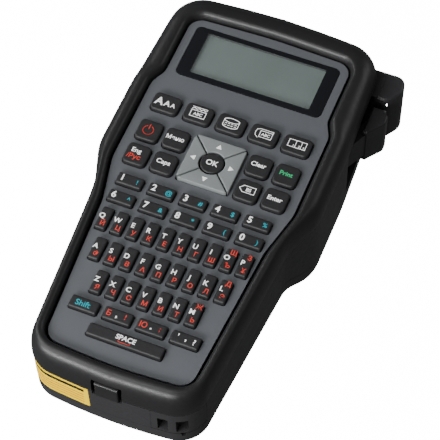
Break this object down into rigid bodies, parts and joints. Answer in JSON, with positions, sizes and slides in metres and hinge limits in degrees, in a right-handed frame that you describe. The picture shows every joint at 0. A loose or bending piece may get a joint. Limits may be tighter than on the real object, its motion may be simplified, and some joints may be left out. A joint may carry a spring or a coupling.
{
  "type": "label maker",
  "caption": "Handheld label maker with a small display over a full keypad, a deep head for the tape cassette, a side cutter lever and a removable back cover.",
  "frame": {"origin": "Centre of the flat back of the head, in the plane that it rests on.", "axes": "+X to the right of the face, +Y along the length towards the display end, +Z out of the face."},
  "size_m": [0.1215, 0.2175, 0.0542],
  "materials": {
    "key_rubber": "matte",
    "nav_rubber": "matte",
    "soft_black": "satin",
    "plate_grey": "satin",
    "window_lens": "polished",
    "screen_glass": "satin",
    "mat_rubber": "matte",
    "board_green": "satin",
    "case_black": "matte",
    "gloss_black": "polished",
    "cassette_grey": "matte",
    "tape_white": "matte",
    "roller_rubber": "matte",
    "gear_nylon": "satin",
    "pinion_brass": "satin",
    "motor_steel": "satin",
    "head_alloy": "satin",
    "blade_steel": "polished",
    "battery_wrap": "satin",
    "contact_steel": "polished",
    "screw_steel": "satin"
  },
  "bodies": {
    "case": {"front_housing": "soft_black", "rear_housing": "case_black", "strap_eyelet": "case_black", "faceplate": "plate_grey", "display_window": "window_lens", "lcd_module": "screen_glass", "keypad_mat": "mat_rubber", "main_board": "board_green", "tape_cassette": "cassette_grey", "print_head": "head_alloy", "drive_motor": "motor_steel", "tape_exit_guide": "case_black", "battery_pack": "battery_wrap", "battery_contacts": "contact_steel", "case_screws": "screw_steel"},
    "font_key": {"font_key": "key_rubber"},
    "frame_key": {"frame_key": "key_rubber"},
    "memory_key": {"memory_key": "key_rubber"},
    "label_key": {"label_key": "key_rubber"},
    "preview_key": {"preview_key": "key_rubber"},
    "power_key": {"power_key": "key_rubber"},
    "menu_key": {"menu_key": "key_rubber"},
    "language_key": {"language_key": "key_rubber"},
    "caps_key": {"caps_key": "key_rubber"},
    "clear_key": {"clear_key": "key_rubber"},
    "print_key": {"print_key": "key_rubber"},
    "backspace_key": {"backspace_key": "key_rubber"},
    "enter_key": {"enter_key": "key_rubber"},
    "digit_1_key": {"digit_1_key": "key_rubber"},
    "digit_2_key": {"digit_2_key": "key_rubber"},
    "digit_3_key": {"digit_3_key": "key_rubber"},
    "digit_4_key": {"digit_4_key": "key_rubber"},
    "digit_5_key": {"digit_5_key": "key_rubber"},
    "digit_6_key": {"digit_6_key": "key_rubber"},
    "digit_7_key": {"digit_7_key": "key_rubber"},
    "digit_8_key": {"digit_8_key": "key_rubber"},
    "digit_9_key": {"digit_9_key": "key_rubber"},
    "digit_0_key": {"digit_0_key": "key_rubber"},
    "shift_key": {"shift_key": "key_rubber"},
    "comma_key": {"comma_key": "key_rubber"},
    "period_key": {"period_key": "key_rubber"},
    "question_key": {"question_key": "key_rubber"},
    "space_key": {"space_key": "key_rubber"},
    "q_row_keys": {"q_row_keys": "key_rubber"},
    "a_row_keys": {"a_row_keys": "key_rubber"},
    "z_row_keys": {"z_row_keys": "key_rubber"},
    "nav_up_key": {"nav_up_key": "nav_rubber"},
    "nav_right_key": {"nav_right_key": "nav_rubber"},
    "nav_down_key": {"nav_down_key": "nav_rubber"},
    "nav_left_key": {"nav_left_key": "nav_rubber"},
    "confirm_key": {"confirm_key": "key_rubber"},
    "rear_cover": {"rear_cover": "case_black"},
    "cutter_lever": {"cutter_lever": "gloss_black", "cutter_blade": "blade_steel"},
    "cover_latch": {"cover_latch": "gloss_black"},
    "platen": {"platen_roller": "roller_rubber", "platen_gear": "gear_nylon"},
    "reduction_gear": {"reduction_gear": "gear_nylon"},
    "motor_pinion": {"motor_pinion": "pinion_brass"},
    "tape_spool": {"tape_spool": "tape_white"}
  },
  "joints": [
    {"name": "cover_open", "type": "hinge", "parent": "case", "child": "rear_cover", "pos_m": [0, 0.0529, 0.0071], "axis": [1, 0, 0], "range_deg": [0, 75]},
    {"name": "lever_press", "type": "hinge", "parent": "case", "child": "cutter_lever", "pos_m": [0.048, -0.0005, 0.025], "axis": [0, 0, 1], "range_deg": [0, 12], "stiffness_Nm_per_rad": 0.4, "springref_deg": -11.46},
    {"name": "latch_press", "type": "slide", "parent": "case", "child": "cover_latch", "axis": [0, 1, 0], "range_m": [0, 0.0015], "stiffness_N_per_m": 300, "springref_m": -0.003},
    {"name": "platen_spin", "type": "hinge", "parent": "case", "child": "platen", "pos_m": [0.0435, 0.024, 0.02], "axis": [0, 0, 1], "continuous": true},
    {"name": "reduction_spin", "type": "hinge", "parent": "case", "child": "reduction_gear", "pos_m": [0.03993, 0.00864, 0.038], "axis": [0, 0, 1], "continuous": true},
    {"name": "pinion_spin", "type": "hinge", "parent": "case", "child": "motor_pinion", "pos_m": [0.037, -0.004, 0.038], "axis": [0, 0, 1], "continuous": true},
    {"name": "spool_spin", "type": "hinge", "parent": "case", "child": "tape_spool", "pos_m": [-0.01, 0.005, 0.017], "axis": [0, 0, 1], "continuous": true},
    {"name": "font_key_press", "type": "slide", "parent": "case", "child": "font_key", "axis": [0, 0, -1], "range_m": [0, 0.0009], "stiffness_N_per_m": 300, "springref_m": -0.002},
    {"name": "frame_key_press", "type": "slide", "parent": "case", "child": "frame_key", "axis": [0, 0, -1], "range_m": [0, 0.0009], "stiffness_N_per_m": 300, "springref_m": -0.002},
    {"name": "memory_key_press", "type": "slide", "parent": "case", "child": "memory_key", "axis": [0, 0, -1], "range_m": [0, 0.0009], "stiffness_N_per_m": 300, "springref_m": -0.002},
    {"name": "label_key_press", "type": "slide", "parent": "case", "child": "label_key", "axis": [0, 0, -1], "range_m": [0, 0.0009], "stiffness_N_per_m": 300, "springref_m": -0.002},
    {"name": "preview_key_press", "type": "slide", "parent": "case", "child": "preview_key", "axis": [0, 0, -1], "range_m": [0, 0.0009], "stiffness_N_per_m": 300, "springref_m": -0.002},
    {"name": "power_key_press", "type": "slide", "parent": "case", "child": "power_key", "axis": [0, 0, -1], "range_m": [0, 0.0009], "stiffness_N_per_m": 300, "springref_m": -0.002},
    {"name": "menu_key_press", "type": "slide", "parent": "case", "child": "menu_key", "axis": [0, 0, -1], "range_m": [0, 0.0009], "stiffness_N_per_m": 300, "springref_m": -0.002},
    {"name": "language_key_press", "type": "slide", "parent": "case", "child": "language_key", "axis": [0, 0, -1], "range_m": [0, 0.0009], "stiffness_N_per_m": 300, "springref_m": -0.002},
    {"name": "caps_key_press", "type": "slide", "parent": "case", "child": "caps_key", "axis": [0, 0, -1], "range_m": [0, 0.0009], "stiffness_N_per_m": 300, "springref_m": -0.002},
    {"name": "clear_key_press", "type": "slide", "parent": "case", "child": "clear_key", "axis": [0, 0, -1], "range_m": [0, 0.0009], "stiffness_N_per_m": 300, "springref_m": -0.002},
    {"name": "print_key_press", "type": "slide", "parent": "case", "child": "print_key", "axis": [0, 0, -1], "range_m": [0, 0.0009], "stiffness_N_per_m": 300, "springref_m": -0.002},
    {"name": "backspace_key_press", "type": "slide", "parent": "case", "child": "backspace_key", "axis": [0, 0, -1], "range_m": [0, 0.0009], "stiffness_N_per_m": 300, "springref_m": -0.002},
    {"name": "enter_key_press", "type": "slide", "parent": "case", "child": "enter_key", "axis": [0, 0, -1], "range_m": [0, 0.0009], "stiffness_N_per_m": 300, "springref_m": -0.002},
    {"name": "digit_1_key_press", "type": "slide", "parent": "case", "child": "digit_1_key", "axis": [0, 0, -1], "range_m": [0, 0.0009], "stiffness_N_per_m": 300, "springref_m": -0.002},
    {"name": "digit_2_key_press", "type": "slide", "parent": "case", "child": "digit_2_key", "axis": [0, 0, -1], "range_m": [0, 0.0009], "stiffness_N_per_m": 300, "springref_m": -0.002},
    {"name": "digit_3_key_press", "type": "slide", "parent": "case", "child": "digit_3_key", "axis": [0, 0, -1], "range_m": [0, 0.0009], "stiffness_N_per_m": 300, "springref_m": -0.002},
    {"name": "digit_4_key_press", "type": "slide", "parent": "case", "child": "digit_4_key", "axis": [0, 0, -1], "range_m": [0, 0.0009], "stiffness_N_per_m": 300, "springref_m": -0.002},
    {"name": "digit_5_key_press", "type": "slide", "parent": "case", "child": "digit_5_key", "axis": [0, 0, -1], "range_m": [0, 0.0009], "stiffness_N_per_m": 300, "springref_m": -0.002},
    {"name": "digit_6_key_press", "type": "slide", "parent": "case", "child": "digit_6_key", "axis": [0, 0, -1], "range_m": [0, 0.0009], "stiffness_N_per_m": 300, "springref_m": -0.002},
    {"name": "digit_7_key_press", "type": "slide", "parent": "case", "child": "digit_7_key", "axis": [0, 0, -1], "range_m": [0, 0.0009], "stiffness_N_per_m": 300, "springref_m": -0.002},
    {"name": "digit_8_key_press", "type": "slide", "parent": "case", "child": "digit_8_key", "axis": [0, 0, -1], "range_m": [0, 0.0009], "stiffness_N_per_m": 300, "springref_m": -0.002},
    {"name": "digit_9_key_press", "type": "slide", "parent": "case", "child": "digit_9_key", "axis": [0, 0, -1], "range_m": [0, 0.0009], "stiffness_N_per_m": 300, "springref_m": -0.002},
    {"name": "digit_0_key_press", "type": "slide", "parent": "case", "child": "digit_0_key", "axis": [0, 0, -1], "range_m": [0, 0.0009], "stiffness_N_per_m": 300, "springref_m": -0.002},
    {"name": "shift_key_press", "type": "slide", "parent": "case", "child": "shift_key", "axis": [0, 0, -1], "range_m": [0, 0.0009], "stiffness_N_per_m": 300, "springref_m": -0.002},
    {"name": "comma_key_press", "type": "slide", "parent": "case", "child": "comma_key", "axis": [0, 0, -1], "range_m": [0, 0.0009], "stiffness_N_per_m": 300, "springref_m": -0.002},
    {"name": "period_key_press", "type": "slide", "parent": "case", "child": "period_key", "axis": [0, 0, -1], "range_m": [0, 0.0009], "stiffness_N_per_m": 300, "springref_m": -0.002},
    {"name": "question_key_press", "type": "slide", "parent": "case", "child": "question_key", "axis": [0, 0, -1], "range_m": [0, 0.0009], "stiffness_N_per_m": 300, "springref_m": -0.002},
    {"name": "space_key_press", "type": "slide", "parent": "case", "child": "space_key", "axis": [0, 0, -1], "range_m": [0, 0.0009], "stiffness_N_per_m": 300, "springref_m": -0.002},
    {"name": "q_row_keys_press", "type": "slide", "parent": "case", "child": "q_row_keys", "axis": [0, 0, -1], "range_m": [0, 0.0009], "stiffness_N_per_m": 300, "springref_m": -0.002},
    {"name": "a_row_keys_press", "type": "slide", "parent": "case", "child": "a_row_keys", "axis": [0, 0, -1], "range_m": [0, 0.0009], "stiffness_N_per_m": 300, "springref_m": -0.002},
    {"name": "z_row_keys_press", "type": "slide", "parent": "case", "child": "z_row_keys", "axis": [0, 0, -1], "range_m": [0, 0.0009], "stiffness_N_per_m": 300, "springref_m": -0.002},
    {"name": "nav_up_key_press", "type": "slide", "parent": "case", "child": "nav_up_key", "axis": [0, 0, -1], "range_m": [0, 0.0009], "stiffness_N_per_m": 300, "springref_m": -0.002},
    {"name": "nav_right_key_press", "type": "slide", "parent": "case", "child": "nav_right_key", "axis": [0, 0, -1], "range_m": [0, 0.0009], "stiffness_N_per_m": 300, "springref_m": -0.002},
    {"name": "nav_down_key_press", "type": "slide", "parent": "case", "child": "nav_down_key", "axis": [0, 0, -1], "range_m": [0, 0.0009], "stiffness_N_per_m": 300, "springref_m": -0.002},
    {"name": "nav_left_key_press", "type": "slide", "parent": "case", "child": "nav_left_key", "axis": [0, 0, -1], "range_m": [0, 0.0009], "stiffness_N_per_m": 300, "springref_m": -0.002},
    {"name": "confirm_key_press", "type": "slide", "parent": "case", "child": "confirm_key", "axis": [0, 0, -1], "range_m": [0, 0.0009], "stiffness_N_per_m": 300, "springref_m": -0.002}
  ],
  "couplings": [
    {"joint": "reduction_spin", "follows": "platen_spin", "ratio": -0.61398},
    {"joint": "pinion_spin", "follows": "platen_spin", "ratio": 1.875},
    {"joint": "spool_spin", "follows": "platen_spin", "ratio": -0.16}
  ]
}
